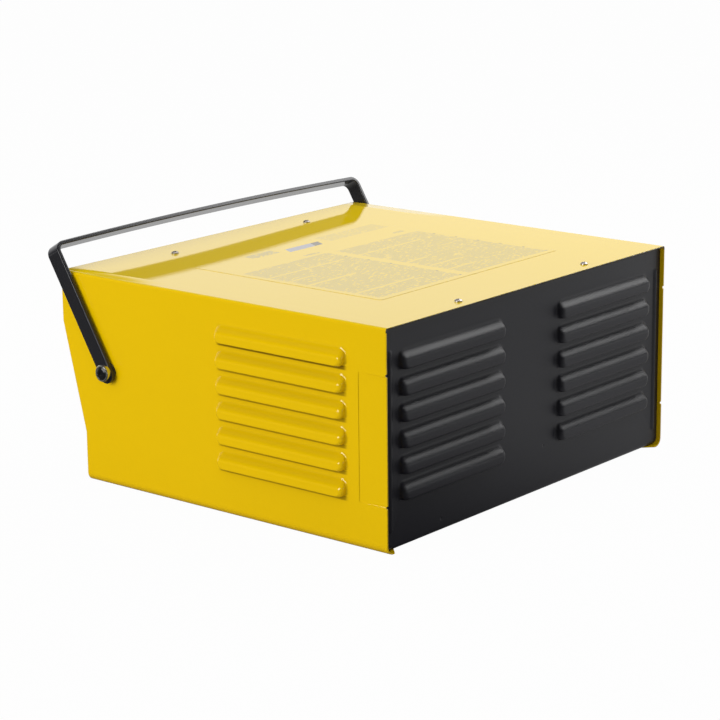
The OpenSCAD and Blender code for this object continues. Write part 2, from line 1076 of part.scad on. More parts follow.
module lead_grommets() {
    color("#111112")
    for (x = lead_x)
        on_front(x, toe_z)
            rotate_extrude()
                polygon([
                    [6, -chassis_t - 2.5], [10.6, -chassis_t - 2.5], [11.4, -chassis_t - 1.8],
                    [11.4, -chassis_t], [grommet_hole / 2, -chassis_t], [grommet_hole / 2, 0],
                    [11.4, 0], [11.4, 1.8], [10.6, 2.5], [6, 2.5]]);
}

// Transformer

// Sets children at the middle of the core on the floor
module at_core() {
    translate([core_x, core_y, floor_top])
        children();
}

module core() {
    color("#4a4f57")
    at_core()
        rotate([90, 0, 0])
            linear_extrude(core_stack, center = true)
                difference() {
                    translate([-core_w / 2, 0])
                        square([core_w, core_h]);
                    for (s = [-1, 1])
                        translate([s * leg_w * 1.5 - leg_w / 2, leg_w])
                            square([leg_w, coil_h]);
                    for (s = [-1, 1], z = [core_bolt_low, core_bolt_high])
                        translate([s * core_bolt_x, z])
                            circle(d = core_bolt_d + 0.4);
                }
}

module core_feet() {
    color("silver")
    for (s = [0, 1])
        at_core()
            mirror([0, s, 0])
                translate([0, core_stack / 2, 0])
                    difference() {
                        union() {
                            translate([-core_w / 2, 0, 0])
                                cube([core_w, feet_leg, foot_t]);
                            translate([-core_w / 2, 0, 0])
                                cube([core_w, foot_t, 20]);
                        }
                        for (x = [-48, 48])
                            translate([x, 13, -over])
                                cylinder(d = 4.5, h = 5);
                        for (x = [-core_bolt_x, core_bolt_x])
                            translate([x, -over, core_bolt_low])
                                rotate([-90, 0, 0])
                                    cylinder(d = core_bolt_d + 0.4, h = 5);
                    }
}

// Grip of a core bolt at the height of the feet or above them
function grip(z) = core_stack / 2 + (z < 20 ? foot_t : 0);

module core_bolts() {
    color("silver")
    at_core()
        for (x = [-core_bolt_x, core_bolt_x], z = [core_bolt_low, core_bolt_high]) {
            translate([x, -grip(z) - 4, z])
                rotate([-90, 0, 0]) {
                    translate([0, 0, 3])
                        cylinder(d = core_bolt_d, h = 2 * grip(z) + 8);
                    hexagon(10, 4);
                }
        }
}

module core_nuts() {
    color("silver")
    at_core()
        for (x = [-core_bolt_x, core_bolt_x], z = [core_bolt_low, core_bolt_high])
            translate([x, grip(z), z])
                rotate([-90, 0, 0])
                    difference() {
                        hexagon(10, 5);
                        translate([0, 0, -over])
                            cylinder(d = core_bolt_d, h = 8);
                    }
}

tube_w = 2 * leg_w + 0.6;
tube_l = core_stack + 0.6;
tube_t = 1.6;
primary_t = 8.6;
secondary_t = 9.2;
coil_clear = 0.8;

// Ring wound round the middle leg
module coil(inner, t, h) {
    linear_extrude(h)
        difference() {
            round_rect(tube_w + 2 * (inner + t), tube_l + 2 * (inner + t), inner + t);
            round_rect(tube_w + 2 * inner, tube_l + 2 * inner, inner);
        }
}

module bobbin() {
    color("#d8cfb4")
    at_core()
        translate([0, 0, leg_w])
            difference() {
                union() {
                    linear_extrude(coil_h)
                        round_rect(tube_w + 2 * tube_t, tube_l + 2 * tube_t, tube_t);
                    for (z = [0, coil_h - 2])
                        translate([0, 0, z])
                            linear_extrude(2)
                                round_rect(4 * leg_w - coil_clear, core_stack + 2 * leg_w, 4);
                }
                translate([-tube_w / 2, -tube_l / 2, -over])
                    cube([tube_w, tube_l, coil_h + 2 * over]);
            }
}

module primary_winding() {
    color("#a5502a")
    at_core()
        translate([0, 0, leg_w + 2])
            coil(tube_t, primary_t, coil_h - 4);
}

module secondary_winding() {
    color("#c9723a")
    at_core()
        translate([0, 0, leg_w + 2])
            coil(tube_t + primary_t, secondary_t, coil_h - 4);
}

coil_front = core_y - core_stack / 2 - 0.3 - tube_t - primary_t - secondary_t;

module thermal_switch() {
    color("gainsboro")
    translate([core_x + 12, coil_front, floor_top + leg_w + 24])
        rotate([90, 0, 0]) {
            cylinder(d = 16, h = 5);
            for (x = [-6, 6])
                translate([x - 2.4, -0.4, 4.9])
                    cube([4.8, 0.8, 7]);
        }
}

// Rectifier

fin_count = 11;
fin_out = 24;

module heat_sink() {
    color("lightgray")
    translate([sink_x, sink_y, floor_top + sink_rise])
        difference() {
            union() {
                translate([-sink_w / 2, 0, 0])
                    cube([sink_w, 5, sink_h]);
                translate([-sink_w / 2, -sink_foot, 0])
                    cube([sink_w, sink_foot + 0.01, 5]);
                for (k = [0 : fin_count - 1])
                    translate([-sink_w / 2 + k * (sink_w - 2) / (fin_count - 1), 4.99, 0])
                        cube([2, fin_out, sink_h]);
            }
            for (sx = [-1, 1], sy = [-1, 1])
                translate([sx * 50, -18 + sy * 7, -over])
                    cylinder(d = 4.5, h = 8);
        }
}

module sink_spacers() {
    color("ivory")
    for (sx = [-1, 1], sy = [-1, 1])
        translate([sink_x + sx * 50, sink_y - 18 + sy * 7, floor_top])
            difference() {
                cylinder(d = 10, h = sink_rise);
                translate([0, 0, -over])
                    cylinder(d = 4.2, h = sink_rise + 2 * over);
            }
}

module sink_screws() {
    color("silver")
    for (sx = [-1, 1], sy = [-1, 1])
        translate([sink_x + sx * 50, sink_y - 18 + sy * 7, floor_top + sink_rise + 5])
            pan_screw(3.5, 6.9, 2.4, sink_rise + 5 + chassis_t + 1);
}

diode_x = [-45, -15, 15, 45];
diode_z = 50;

module diodes() {
    color("tan")
    for (x = diode_x)
        translate([sink_x + x, sink_y, floor_top + sink_rise + diode_z])
            rotate([90, 0, 0]) {
                hexagon(17, 5);
                translate([0, 0, 4.99])
                    cylinder(d = 15, h = 6);
                translate([0, 0, 10.98])
                    cylinder(d1 = 6, d2 = 4, h = 5);
                translate([-2.5, -1, 15.97])
                    cube([5, 2, 8]);
            }
}

// Start relay

module relay_can() {
    color("gainsboro")
    translate([relay_x, relay_y, floor_top])
        difference() {
            union() {
                linear_extrude(2)
                    round_rect(78, 36, 6);
                cylinder(d = relay_d, h = 44);
            }
            for (x = [-32, 32])
                translate([x, 0, -over])
                    cylinder(d = 4.5, h = 5);
        }
}

module relay_cap() {
    color("#2b211c")
    translate([relay_x, relay_y, floor_top + 44])
        difference() {
            union() {
                cylinder(d = relay_d - 2, h = 14);
                translate([-1.5, -relay_d / 2 + 2, 13.9])
                    cube([3, relay_d - 4, 10]);
            }
            for (x = [-13, 13])
                translate([x, 0, 6])
                    cylinder(d = 8, h = 20);
        }
}

module relay_studs() {
    color("#c98a4b")
    translate([relay_x, relay_y, floor_top + 44])
        for (x = [-13, 13])
            translate([x, 0, 6]) {
                cylinder(d = 8, h = 22);
                translate([0, 0, 8])
                    hexagon(13, 5);
            }
}

// Mains terminals

module terminal_block() {
    color("#dcd6c4")
    translate([block_x, block_y, floor_top])
        difference() {
            union() {
                linear_extrude(6)
                    round_rect(64, 22, 2);
                for (k = [-1, 0, 1])
                    translate([k * 14, 0, 5.9])
                        linear_extrude(12)
                            round_rect(11, 20, 1);
            }
            for (x = [-26, 26])
                translate([x, 0, -over])
                    cylinder(d = 4.5, h = 10);
            for (k = [-1, 0, 1]) {
                translate([k * 14, 0, 10])
                    rotate([90, 0, 0])
                        cylinder(d = 5, h = 30, center = true);
                for (y = [-5, 5])
                    translate([k * 14, y, 9])
                        cylinder(d = 5, h = 12);
            }
        }
}

module terminal_screws() {
    color("goldenrod")
    for (k = [-1, 0, 1], y = [-5, 5])
        translate([block_x + k * 14, block_y + y, floor_top + 9.8])
            difference() {
                cylinder(d = 5, h = 6);
                translate([-3, -0.4, 5])
                    cube([6, 0.8, 2]);
            }
}

// Control board

board_low = floor_top + board_rise;
board_top = board_low + board_t;

// Places of the four board posts
module at_posts() {
    for (sx = [-1, 1], sy = [-1, 1])
        translate([board_x + sx * (board_l / 2 - 6), board_y + sy * (board_b / 2 - 6), 0])
            children();
}

module control_board() {
    color("darkgreen")
    difference() {
        translate([board_x - board_l / 2, board_y - board_b / 2, board_low])
            cube([board_l, board_b, board_t]);
        at_posts()
            translate([0, 0, board_low - over])
                cylinder(d = 3.4, h = 5);
    }
}

module board_posts() {
    color("goldenrod")
    at_posts()
        difference() {
            union() {
                translate([0, 0, floor_top])
                    hexagon(6, board_rise);
                translate([0, 0, floor_low])
                    cylinder(d = 4, h = chassis_t + 0.01);
            }
            translate([0, 0, board_low - 7])
                cylinder(d = 3, h = 10);
        }
}

module board_screws() {
    color("silver")
    at_posts()
        translate([0, 0, board_top])
            pan_screw(3, 5.6, 2, 7);
}

module board_relays() {
    color("#1f3f7a")
    for (x = [-34, 0, 34])
        translate([board_x + x, board_y + 22, board_top])
            linear_extrude(20)
                round_rect(28, 22, 1);
}

module board_capacitors() {
    color("#222c55")
    for (x = [-46, -22])
        translate([board_x + x, board_y - 18, board_top]) {
            cylinder(d = 18, h = 30);
            translate([0, 0, 29.9])
                cylinder(d = 16, h = 0.8);
        }
}

// Inner leads

lead_d = 7;
thin_d = 3;
coil_top = floor_top + core_h - leg_w - 2;

module secondary_leads() {
    color("#8e1f1f")
    for (k = [0, 1]) {
        a = [core_x + 30 - 16 * k, coil_front - 0.1, coil_top - 3.6];
        b = [core_x + 30 - 16 * k, coil_front - 14 - 8 * k, coil_top - 3.6];
        c = [sink_x + diode_x[3 * k], coil_front - 14 - 8 * k, coil_top - 3.6];
        e = [sink_x + diode_x[3 * k], sink_y - 21, coil_top - 3.6];
        f = [sink_x + diode_x[3 * k], sink_y - 21, floor_top + sink_rise + diode_z + 1.1];
        wire([a, b, c, e, f], lead_d);
    }
}

module primary_leads() {
    color("#2b4f9e")
    for (k = [-1, 1]) {
        a = [block_x + 14 * k, block_y + 9, floor_top + 10];
        b = [block_x + 14 * k, coil_front - 40 - 6 * k, floor_top + 10];
        c = [core_x - 30 + 6 * k, coil_front - 40 - 6 * k, floor_top + 10];
        e = [core_x - 30 + 6 * k, coil_front - 6, floor_top + 10];
        f = [core_x - 30 + 6 * k, coil_front - 6, floor_top + leg_w + 8];
        g = [core_x - 30 + 6 * k, coil_front - 0.1, floor_top + leg_w + 8];
        wire([a, b, c, e, f, g], thin_d);
    }
}

module floor_screws() {
    color("silver")
    for (p = floor_points)
        translate([p[0], p[1], floor_top + p[2]])
            pan_screw(3.5, 6.9, 2.4, p[2] + chassis_t + 1);
}

cover();
chassis();
handle();
pivot_bolts();
pivot_caps();
pivot_bushes();
pivot_washers();
pivot_nuts();
cover_screws();
top_label();
front_overlay();
meter_case();
meter_movement();
meter_dial();
meter_needle();
meter_lens();
selector_switch();
selector_nut();
selector_knob();
rocker_frames();
rocker_mains();
rocker_volts();
lamp_bodies();
lens_mains();
lens_charge();
breaker_body();
breaker_nut();
breaker_button();
mains_gland();
gland_nut();
lead_grommets();
core();
core_feet();
core_bolts();
core_nuts();
bobbin();
primary_winding();
secondary_winding();
thermal_switch();
heat_sink();
sink_spacers();
sink_screws();
diodes();
relay_can();
relay_cap();
relay_studs();
terminal_block();
terminal_screws();
control_board();
board_posts();
board_screws();
board_relays();
board_capacitors();
secondary_leads();
primary_leads();
floor_screws();
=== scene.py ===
"""Looks of a bench battery charger with jump start: a folded yellow cover over a black
louvred chassis, a flat bar handle, and the controls and works inside."""

import math

import bmesh
import bpy
import numpy as np
from mathutils import Matrix, Vector

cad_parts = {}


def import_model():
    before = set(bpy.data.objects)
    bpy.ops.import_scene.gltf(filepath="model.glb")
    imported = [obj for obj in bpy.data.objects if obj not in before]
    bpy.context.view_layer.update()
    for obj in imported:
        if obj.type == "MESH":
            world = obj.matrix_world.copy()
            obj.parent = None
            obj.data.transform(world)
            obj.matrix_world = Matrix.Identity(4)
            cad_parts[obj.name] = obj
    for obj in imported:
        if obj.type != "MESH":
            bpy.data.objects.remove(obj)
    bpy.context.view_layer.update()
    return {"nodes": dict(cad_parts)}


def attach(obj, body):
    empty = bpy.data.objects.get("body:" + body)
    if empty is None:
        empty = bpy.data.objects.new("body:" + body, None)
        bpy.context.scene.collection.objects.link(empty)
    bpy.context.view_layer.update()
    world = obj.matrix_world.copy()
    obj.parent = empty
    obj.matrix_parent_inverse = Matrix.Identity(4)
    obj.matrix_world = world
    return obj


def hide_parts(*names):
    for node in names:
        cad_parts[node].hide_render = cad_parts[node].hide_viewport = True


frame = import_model()
nodes = frame["nodes"]

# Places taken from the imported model, in metres
top_z, rear_edge = 0.200, 0.194
lip_low, lip_pitch, lip_out = 0.0421, 0.0232, 0.0065
louver_rows, louver_half, louver_high = 6, 0.0765, 0.0194
louver_root, louver_corner = 0.002, 0.008
side_sheet, side_louver_y, cover_thick = 0.214, 0.0755, 0.0012
rear_sheet, rear_louver_x, chassis_thick = 0.190, 0.1165, 0.0015
bar_lean, bar_reach, bar_half = math.radians(31.0), 0.1315, 0.2165
pivot_y, pivot_z = -0.1354, 0.1114
meter_at = (-0.118, 0.124)
selector_at = (0.008, 0.118)
knob_grip_y = -0.1848

# How the photograph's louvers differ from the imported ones, in metres
roof_slope = 0.010
side_lip_up, rear_lip_up = 0.003, 0.002
side_ends_in, rear_ends_in = (0.0025, 0.0025), (0.005, 0.0)

mm = 1000.0  # millimetres in a metre
white = (1.0, 1.0, 1.0)


# Shader maths


class Val:
    """A shader socket, or a number, that builds Math nodes when it is used in an expression."""

    def __init__(self, owner, socket):
        self.owner = owner
        self.socket = socket

    def math(self, operation, *others):
        """The result of one Math node, fed with this value and the others."""
        made = self.owner.add("ShaderNodeMath", {"operation": operation},
                              dict(enumerate((self,) + others)))
        return Val(self.owner, made.outputs[0])

    def __add__(self, other):
        return self.math("ADD", other)

    __radd__ = __add__

    def __sub__(self, other):
        return self.math("SUBTRACT", other)

    def __rsub__(self, other):
        return Val(self.owner, other).math("SUBTRACT", self)

    def __mul__(self, other):
        return self.math("MULTIPLY", other)

    __rmul__ = __mul__

    def __truediv__(self, other):
        return self.math("DIVIDE", other)

    def __rtruediv__(self, other):
        return Val(self.owner, other).math("DIVIDE", self)

    def __lt__(self, other):
        return self.math("LESS_THAN", other)

    def __gt__(self, other):
        return self.math("GREATER_THAN", other)

    def __abs__(self):
        return self.math("ABSOLUTE")

    def floor(self):
        return self.math("FLOOR")

    def fract(self):
        return self.math("FRACT")

    def sine(self):
        return self.math("SINE")

    def cosine(self):
        return self.math("COSINE")

    def root(self):
        return self.math("SQRT")

    def lowest(self, other):
        return self.math("MINIMUM", other)

    def highest(self, other):
        return self.math("MAXIMUM", other)

    def within(self, low, high):
        """1 between low and high, 0 outside."""
        return (self > low) * (self < high)

    def near_whole(self, half):
        """1 where the nearest whole number is closer than half, 0 elsewhere."""
        return abs((self + 0.5).fract() - 0.5) < half

    def rise(self, low, high):
        """Goes smoothly from 0 at low to 1 at high."""
        made = self.owner.add("ShaderNodeMapRange", {"interpolation_type": "SMOOTHSTEP"},
                              {"Value": self, "From Min": low, "From Max": high})
        return Val(self.owner, made.outputs["Result"])


def radius(a, b):
    """Distance from the point where the coordinates a and b are both zero."""
    return (a * a + b * b).root()


def box(a, b, a0, a1, b0, b1):
    """1 inside a rectangle of the coordinates a and b, 0 outside."""
    return a.within(a0, a1) * b.within(b0, b1)


def outline(a, b, a0, a1, b0, b1, wide):
    """1 on a line just inside the edge of a rectangle, 0 elsewhere."""
    inner = box(a, b, a0 + wide, a1 - wide, b0 + wide, b1 - wide)
    return box(a, b, a0, a1, b0, b1) - inner


class Nodes:
    """An emptied node tree, with the one method that adds any node to it."""

    def __init__(self, tree):
        self.tree = tree
        tree.nodes.clear()

    def feed(self, socket, value):
        """Links a value or a socket to an input, or sets the input to a constant."""
        if isinstance(value, Val):
            value = value.socket
        if isinstance(value, bpy.types.NodeSocket):
            self.tree.links.new(value, socket)
        elif socket.type == "RGBA":
            socket.default_value = tuple(value) + (1.0,)
        else:
            socket.default_value = value

    def add(self, kind, settings=None, inputs=None):
        """Adds any node: its settings first, then the values or links of its inputs."""
        made = self.tree.nodes.new(kind)
        for key, value in (settings or {}).items():
            setattr(made, key, value)
        for key, value in (inputs or {}).items():
            self.feed(made.inputs[key], value)
        return made


class Finish(Nodes):
    """One procedural material: its nodes, its coordinates and its Principled shader."""

    def __init__(self, name, **fixed):
        self.material = bpy.data.materials.new(name)
        self.material.use_nodes = True
        super().__init__(self.material.node_tree)
        self.out = self.add("ShaderNodeOutputMaterial")
        self.shader = self.add("ShaderNodeBsdfPrincipled")
        self.feed(self.out.inputs["Surface"], self.shader.outputs[0])
        self.set(**fixed)
        self.place = self.add("ShaderNodeTexCoord").outputs["Object"]
        parts = self.add("ShaderNodeSeparateXYZ", {}, {"Vector": self.place})
        self.x, self.y, self.z = (Val(self, parts.outputs[i]) for i in range(3))

    def set(self, **values):
        """Sets or links inputs of the Principled shader, named with _ for a space."""
        for key, value in values.items():
            self.feed(self.shader.inputs[key.replace("_", " ")], value)

    def noise(self, scale, detail=2.0, rough=0.5, stretch=None):
        """Noise from 0 to 1 over the object's place, scale in cells per metre."""
        vector = self.place
        if stretch:
            vector = self.add("ShaderNodeMapping", {"vector_type": "POINT"},
                              {"Vector": vector, "Scale": stretch}).outputs[0]
        made = self.add("ShaderNodeTexNoise", {}, {"Vector": vector, "Scale": scale,
                                                   "Detail": detail, "Roughness": rough})
        return Val(self, made.outputs[0])

    def dice(self, a, b):
        """A fixed random number from 0 to 1 for each pair of whole numbers."""
        pair = self.add("ShaderNodeCombineXYZ", {}, {0: a, 1: b})
        made = self.add("ShaderNodeTexWhiteNoise", {"noise_dimensions": "2D"},
                        {"Vector": pair.outputs[0]})
        return Val(self, made.outputs["Value"])

    def blend(self, first, second, share):
        """Colour between first and second."""
        made = self.add("ShaderNodeMix", {"data_type": "RGBA"}, {0: share, 6: first, 7: second})
        return made.outputs[2]

    def relief(self, height, soft=0.0):
        """Bumps the surface by height in metres, over edges rounded by soft metres."""
        inputs = {"Height": height, "Distance": 1.0, "Strength": 1.0}
        if soft:
            rounded = self.add("ShaderNodeBevel", {"samples": 6}, {"Radius": soft})
            inputs["Normal"] = rounded.outputs[0]
        self.set(Normal=self.add("ShaderNodeBump", {}, inputs).outputs[0])


def srgb(r, g, b):
    """Linear colour of an sRGB colour given from 0 to 255."""
    return tuple(c / 12.92 if c <= 0.04045 else ((c + 0.055) / 1.055) ** 2.4
                 for c in (r / 255, g / 255, b / 255))


def lighter(colour, by):
    """The colour made lighter or darker by a factor."""
    return tuple(min(1.0, c * by) for c in colour)


# Finishes


# Painted sheen: the top of the cover is painted paler than its sides, which are the same enamel
painted_sheen_yellow = srgb(229, 196, 18)


def enamel():
    """Glossy yellow enamel with faint orange peel. The top is painted paler than the sides, a
    painted sheen, and painted shade darkens the cut rear edge of the top and the slots of the
    louvers."""
    f = Finish("yellow_enamel", IOR=1.6)
    sides, upper = srgb(231, 190, 2), top_z - 0.0002
    ground = f.blend(lighter(sides, 0.98), lighter(sides, 1.02), f.noise(7.0, 3.0))
    # Painted sheen: the top blends to the paler yellow
    ground = f.blend(ground, painted_sheen_yellow, f.z.rise(top_z - cover_thick, upper))
    # Painted shade along the rear edge of the top, where it meets the rear panel
    painted_rear_shade = (f.y > rear_edge - 0.0004) * f.z.within(top_z - 0.004, upper)
    ground = f.blend(ground, srgb(70, 56, 8), painted_rear_shade)
    # Painted shade in the slots under the side louver lips and across their roofs
    f.set(Base_Color=f.blend(ground, srgb(112, 84, 0), lip_shade(f)))
    f.set(Roughness=f.noise(160.0, 2.0) * 0.03 + 0.035)
    f.relief(f.noise(330.0, 2.0) * 1.5e-6 + sheet_dish(f), soft=0.0007)
    return f


def lip_shade(f):
    """The shade round the side louvers, from 0 to 1. In a slot it is strongest just under the
    lip, deepest under the top one, and gone a few millimetres further down. A faint one lies
    across each roof, 6 to 16 mm below the next lip."""
    row = (f.z - lip_low - side_lip_up) / lip_pitch
    under = (1.0 - row.fract()) * lip_pitch
    line = 1.0 - under.rise(lip_out * 0.50, lip_out * 0.66)
    soft = 1.0 - under.rise(lip_out * 0.45, lip_out * 1.2)
    along = 1.0 - abs(f.y - side_louver_y).rise(louver_half * 0.93, louver_half)
    along = along * (abs(f.x) > side_sheet - 0.014)
    slots = along * (row < louver_rows - 1.0) * (row > -0.4)
    roofs = along * (row < louver_rows) * (row > 0.0)
    roof = under.rise(0.0062, 0.0088) * (1.0 - under.rise(0.0120, 0.0165))
    deep = (row > louver_rows - 2.0) * 0.25 + 0.55
    return roofs * roof * 0.10 + slots * (line * deep + soft * 0.05)


def sheet_dish(f):
    """Height of the top sheet in metres: a shallow bowl, cosine shaped across the case, whose
    front corners roll off in a wide bend."""
    wide, half, steep = 0.33, 0.211, 0.013
    flat, reach, bend = 0.196, 0.015, 0.030
    edge = math.cos(math.pi * half / wide)
    bowl = ((f.x * (math.pi / wide)).cosine() - edge) * (-steep * wide / math.pi)
    past = (abs(f.x) - flat).highest(0.0).lowest(reach)
    front = (f.y * -1.0).rise(0.06, 0.13)
    return (bowl - past * past * front * (0.5 / bend)) * (f.z > top_z - 0.0005)


def powder(name, colour, rough, grain, soft, pits=()):
    """Satin powder coat: fine even grain and slow changes of gloss. A pit, given by its x and
    z on the rear panel, is a small shallow hollow left by the press."""
    f = Finish(name)
    cloud = f.noise(11.0, 3.0)
    f.set(Base_Color=f.blend(lighter(colour, 0.88), lighter(colour, 1.12), cloud))
    f.set(Roughness=f.noise(420.0, 2.0) * 0.10 + cloud * 0.06 + (rough - 0.08))
    height = (f.noise(900.0, 2.0) + f.noise(60.0, 2.0)) * grain
    for x, z in pits:
        hollow = 1.0 - radius(f.x - x, f.z - z).rise(0.0006, 0.0018)
        height = height - hollow * (f.y > rear_sheet - 0.01) * 0.0004
    f.relief(height, soft=soft)
    return f


def metal(name, colour, rough, scale=(1, 1, 1)):
    """Plated or bare metal with fine drawn marks and slightly clouded plating."""
    f = Finish(name, Metallic=1.0)
    cloud = f.noise(90.0, 3.0)
    f.set(Base_Color=f.blend(lighter(colour, 0.84), lighter(colour, 1.08), cloud))
    f.set(Roughness=f.noise(700.0, 3.0, 0.6, scale) * 0.14 + (rough - 0.07))
    f.relief(f.noise(1500.0, 2.0, 0.5, scale) * 2e-6, soft=0.00025)
    return f


def plastic(name, colour, rough):
    """Moulded plastic with a fine eroded grain."""
    f = Finish(name)
    cloud = f.noise(40.0, 3.0)
    f.set(Base_Color=f.blend(lighter(colour, 0.92), lighter(colour, 1.08), cloud))
    f.set(Roughness=f.noise(500.0, 2.0) * 0.12 + (rough - 0.06))
    f.relief(f.noise(1300.0, 3.0, 0.6) * 4e-6, soft=0.0003)
    return f


def pivot_steel():
    """Zinc plated bolt heads, turned in fine rings round the pivot."""
    f = Finish("pivot_zinc", Metallic=1.0)
    r = radius(f.y - pivot_y, f.z - pivot_z)
    rings = (r * 16000.0 + f.noise(300.0) * 2.0).sine()
    cloud = f.noise(120.0, 3.0)
    f.set(Base_Color=f.blend(srgb(186, 188, 188), srgb(222, 220, 212), cloud))
    f.set(Roughness=rings * 0.05 + 0.24)
    f.relief(rings * 3e-6, soft=0.0003)
    return f


def plain_print(f, base):
    """The printed sheet on the top: a thin frame and two columns of fine grey broken rules
    that stand for print, with gaps between paragraphs, and plain fields above them."""
    x, y = f.x * mm, f.y * mm
    pitch, word_long = 1.95, 2.9
    row = (y / pitch).floor()
    line = (y / pitch).fract().within(0.14, 0.80)
    word = f.dice((x / word_long + f.dice(row, 3.0) * 7.0).floor(), row) > 0.13
    stroke = (x * 1.7 + row * 0.37).fract() > 0.30
    columns = box(x, y, -127, -3, -42, 117) + box(x, y, 8, 127, -45, 117)
    # Gaps between paragraphs: from x, to x, at y, half their height
    for x0, x1, at, half in ((-98, -3, -13, 1.6), (-15, -3, 17, 1.3), (-36, -6, 43, 1.3),
                             (-50, -6, 70, 1.3), (-47, -6, 93, 1.3), (20, 127, -13, 1.6),
                             (92, 127, 11, 1.3), (62, 127, 35, 1.6), (44, 127, 90, 1.6)):
        columns = columns * (1.0 - box(x, y, x0, x1, at - half, at + half))
    upper = box(x, y, -128, -38, -110, -78) * 0.45 + box(x, y, 33, 70, -95, -82)
    heads = box(x, y, -120, -104, -56, -51) + box(x, y, 10, 32, -55, -50)
    fine = line * word * (stroke * 0.5 + 0.5)
    bullets = (x.within(-129, -126.4) + x.within(7, 9.6)) * y.within(-22, 118)
    bullets = bullets * (((y + 21.5) / 27.2).fract() < 0.1)
    border = outline(x, y, -134, 134, -100, 124, 0.5)
    share = fine * (columns * 0.56 + upper * 0.80 + heads * 0.7) + border * 0.14
    colour = f.blend(base, srgb(120, 118, 84), share.lowest(1.0))
    colour = f.blend(colour, srgb(70, 68, 60), (bullets * 0.6).lowest(1.0))
    across = x - (y + 81.0) * 0.5
    field = y.within(-87, -75)
    colour = f.blend(colour, srgb(136, 142, 168), across.within(-14, 23) * field * 0.85)
    return f.blend(colour, srgb(52, 52, 62), across.within(-25, -14) * field * 0.9)


def top_film():
    """Clear gloss film on the enamel, printed in fine grey rules on its underside."""
    f = Finish("printed_film", IOR=1.6)
    # The film's ground is the top's painted sheen yellow
    f.set(Base_Color=plain_print(f, painted_sheen_yellow))
    f.set(Roughness=f.noise(200.0, 2.0) * 0.03 + 0.035)
    f.relief(f.noise(330.0, 2.0) * 1.5e-6 + sheet_dish(f), soft=0.0001)
    return f


def front_film():
    """Dark polyester film with thin light frames and a ring of marks round the selector."""
    f = Finish("front_film")
    x, z = f.x * mm, f.z * mm
    ground = f.blend(srgb(44, 46, 52), srgb(54, 56, 62), f.noise(30.0, 3.0))
    dx, dz = x - selector_at[0] * mm, z - selector_at[1] * mm
    r, angle = radius(dx, dz), dx.math("ARCTAN2", dz)
    ticks = (angle * (6.0 / math.pi)).near_whole(0.06) * r.within(25.0, 31.0)
    lines = ticks * (abs(angle) < 1.2) + r.within(32.5, 33.1) * (abs(angle) < 1.25)
    for pane in ((-167, -69, 80, 168), (-34, 50, 76, 160), (78, 162, 84, 176)):
        lines = lines + outline(x, z, *pane, 0.7)
    band = z.within(178.0, 181.0) * (abs(x) < 186.0)
    colour = f.blend(ground, srgb(206, 208, 206), lines.lowest(1.0))
    f.set(Base_Color=f.blend(colour, srgb(224, 186, 14), band))
    f.set(Roughness=f.noise(900.0, 2.0) * 0.15 + 0.38)
    f.relief(f.noise(1600.0, 2.0) * 4e-6, soft=0.0001)
    return f


def dial_card():
    """White dial with a scale of ticks, a coloured arc and a thin arc under the ticks. The
    needle turns 20 mm below the middle of the meter."""
    f = Finish("dial_card", Roughness=0.55)
    x, z = f.x * mm - meter_at[0] * mm, f.z * mm - (meter_at[1] * mm - 20.0)
    r, angle = radius(x, z), x.math("ARCTAN2", z)
    sweep = abs(angle) < math.radians(44)
    fine_step, coarse_step = math.radians(4.4), math.radians(22.0)
    fine = (angle * (1.0 / fine_step)).near_whole(0.07) * r.within(38, 41)
    coarse = (angle * (1.0 / coarse_step)).near_whole(0.022) * r.within(36.5, 42.5)
    arc = r.within(37.6, 38.1)
    ink = ((fine + coarse + arc) * sweep).lowest(1.0)
    paper = f.blend(srgb(236, 236, 228), srgb(246, 246, 240), f.noise(60.0, 2.0))
    zone = r.within(32.5, 36.0) * sweep
    tint = f.blend(srgb(60, 150, 70), srgb(200, 48, 36), angle > 0.30)
    colour = f.blend(paper, tint, zone * 0.9)
    f.set(Base_Color=f.blend(colour, srgb(24, 24, 26), ink))
    f.relief(f.noise(1400.0, 2.0) * 2e-6)
    return f


def clear(name, colour, rough, share):
    """Clear or tinted moulding, seen through by its transmission."""
    f = Finish(name, Transmission_Weight=share, IOR=1.49)
    f.set(Base_Color=f.blend(lighter(colour, 0.96), colour, f.noise(80.0, 2.0)))
    f.set(Roughness=f.noise(300.0, 2.0) * 0.04 + rough)
    f.relief(f.noise(500.0, 2.0) * 1e-6, soft=0.0004)
    return f


def knob_black():
    """Black knob with a white pointer line on its grip."""
    f = Finish("knob_black")
    x, z = f.x * mm - selector_at[0] * mm, f.z * mm - selector_at[1] * mm
    line = (abs(x) < 0.75) * (z > 4.0) * (f.y < knob_grip_y)
    ground = f.blend(srgb(22, 22, 24), srgb(30, 30, 32), f.noise(80.0, 3.0))
    f.set(Base_Color=f.blend(ground, srgb(232, 232, 228), line))
    f.set(Roughness=f.noise(700.0, 3.0) * 0.14 + 0.36)
    f.relief(f.noise(1500.0, 2.0) * 4e-6, soft=0.0004)
    return f


def laminations():
    """Edges of stacked, varnished core plates."""
    f = Finish("core_plates")
    plate_pitch = 0.0011
    plate = (f.y * (2 * math.pi / plate_pitch)).sine()
    varnish = f.noise(50.0, 4.0)
    share = varnish * 0.7 + plate * 0.08
    f.set(Base_Color=f.blend(srgb(46, 50, 58), srgb(92, 92, 94), share))
    f.set(Metallic=0.35, Roughness=varnish * 0.25 + 0.32)
    f.relief(plate * 2.5e-5 + f.noise(500.0, 3.0) * 1e-5)
    return f


def winding(name, colour, wire):
    """Layers of enamelled wire, one turn every wire metres up the coil."""
    f = Finish(name)
    turn = (f.z * (2 * math.pi / wire) + f.noise(25.0, 1.0) * 1.5).sine()
    shade = f.noise(70.0, 3.0)
    share = turn * 0.3 + shade * 0.6 + 0.1
    f.set(Base_Color=f.blend(lighter(colour, 0.55), lighter(colour, 1.15), share))
    f.set(Metallic=0.55, Roughness=shade * 0.1 + 0.22)
    f.relief(turn * (wire * 0.12))
    return f


